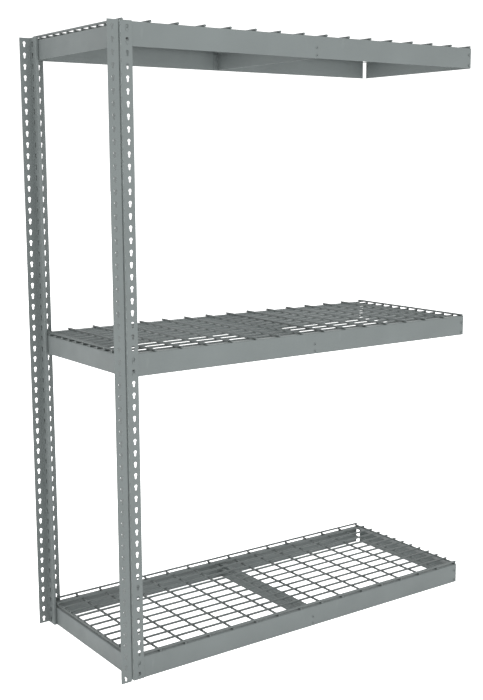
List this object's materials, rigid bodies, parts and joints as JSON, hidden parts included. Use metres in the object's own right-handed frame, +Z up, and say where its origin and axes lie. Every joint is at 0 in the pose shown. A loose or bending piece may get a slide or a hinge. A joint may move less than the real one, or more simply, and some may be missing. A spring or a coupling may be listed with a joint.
{
  "type": "boltless steel shelving add-on bay",
  "caption": "Add-on bay of boltless steel shelving: T-posts with keyholes at one end, riveted angle beams, centre supports and lift-off wire decks.",
  "frame": {"origin": "centre of the bounding box at floor level", "axes": "+Z up along the posts, +X from the posts to the free end of the beams, +Y from the front posts to the rear posts"},
  "size_m": [1.5914, 0.6254, 2.1398],
  "materials": {
    "post": "grey powder coat, satin, lightly marked",
    "beam": "grey powder coat, satin, lightly marked",
    "wire_deck": "grey coated welded steel wire",
    "rivet": "grey coated steel rivet"
  },
  "bodies": {
    "posts": {"front_t_post": "post", "rear_t_post": "post"},
    "bottom_shelf": {"bottom_front_beam": "beam", "bottom_rear_beam": "beam", "bottom_left_end_beam": "beam", "bottom_right_end_beam": "beam", "bottom_centre_support": "beam", "bottom_front_beam_rivet_lower": "rivet", "bottom_front_beam_rivet_upper": "rivet", "bottom_rear_beam_rivet_lower": "rivet", "bottom_rear_beam_rivet_upper": "rivet", "bottom_left_end_beam_front_rivet_lower": "rivet", "bottom_left_end_beam_front_rivet_upper": "rivet", "bottom_left_end_beam_rear_rivet_lower": "rivet", "bottom_left_end_beam_rear_rivet_upper": "rivet", "bottom_centre_support_front_rivet_lower": "rivet", "bottom_centre_support_front_rivet_upper": "rivet", "bottom_centre_support_rear_rivet_lower": "rivet", "bottom_centre_support_rear_rivet_upper": "rivet"},
    "bottom_deck": {"bottom_wire_deck": "wire_deck"},
    "middle_shelf": {"middle_front_beam": "beam", "middle_rear_beam": "beam", "middle_left_end_beam": "beam", "middle_right_end_beam": "beam", "middle_centre_support": "beam", "middle_front_beam_rivet_lower": "rivet", "middle_front_beam_rivet_upper": "rivet", "middle_rear_beam_rivet_lower": "rivet", "middle_rear_beam_rivet_upper": "rivet", "middle_left_end_beam_front_rivet_lower": "rivet", "middle_left_end_beam_front_rivet_upper": "rivet", "middle_left_end_beam_rear_rivet_lower": "rivet", "middle_left_end_beam_rear_rivet_upper": "rivet", "middle_centre_support_front_rivet_lower": "rivet", "middle_centre_support_front_rivet_upper": "rivet", "middle_centre_support_rear_rivet_lower": "rivet", "middle_centre_support_rear_rivet_upper": "rivet"},
    "middle_deck": {"middle_wire_deck": "wire_deck"},
    "top_shelf": {"top_front_beam": "beam", "top_rear_beam": "beam", "top_left_end_beam": "beam", "top_right_end_beam": "beam", "top_centre_support": "beam", "top_front_beam_rivet_lower": "rivet", "top_front_beam_rivet_upper": "rivet", "top_rear_beam_rivet_lower": "rivet", "top_rear_beam_rivet_upper": "rivet", "top_left_end_beam_front_rivet_lower": "rivet", "top_left_end_beam_front_rivet_upper": "rivet", "top_left_end_beam_rear_rivet_lower": "rivet", "top_left_end_beam_rear_rivet_upper": "rivet", "top_centre_support_front_rivet_lower": "rivet", "top_centre_support_front_rivet_upper": "rivet", "top_centre_support_rear_rivet_lower": "rivet", "top_centre_support_rear_rivet_upper": "rivet"},
    "top_deck": {"top_wire_deck": "wire_deck"}
  },
  "joints": [
    {"name": "bottom_shelf_unlock", "type": "slide", "parent": "posts", "child": "bottom_shelf", "axis": [0, 0, 1], "range_m": [0, 0.0107]},
    {"name": "bottom_deck_lift", "type": "slide", "parent": "bottom_shelf", "child": "bottom_deck", "axis": [0, 0, 1], "range_m": [0, 0.9]},
    {"name": "middle_shelf_unlock", "type": "slide", "parent": "posts", "child": "middle_shelf", "axis": [0, 0, 1], "range_m": [0, 0.0107]},
    {"name": "middle_deck_lift", "type": "slide", "parent": "middle_shelf", "child": "middle_deck", "axis": [0, 0, 1], "range_m": [0, 0.9]},
    {"name": "top_shelf_unlock", "type": "slide", "parent": "posts", "child": "top_shelf", "axis": [0, 0, 1], "range_m": [0, 0.0107]},
    {"name": "top_deck_lift", "type": "slide", "parent": "top_shelf", "child": "top_deck", "axis": [0, 0, 1], "range_m": [0, 0.3]}
  ]
}
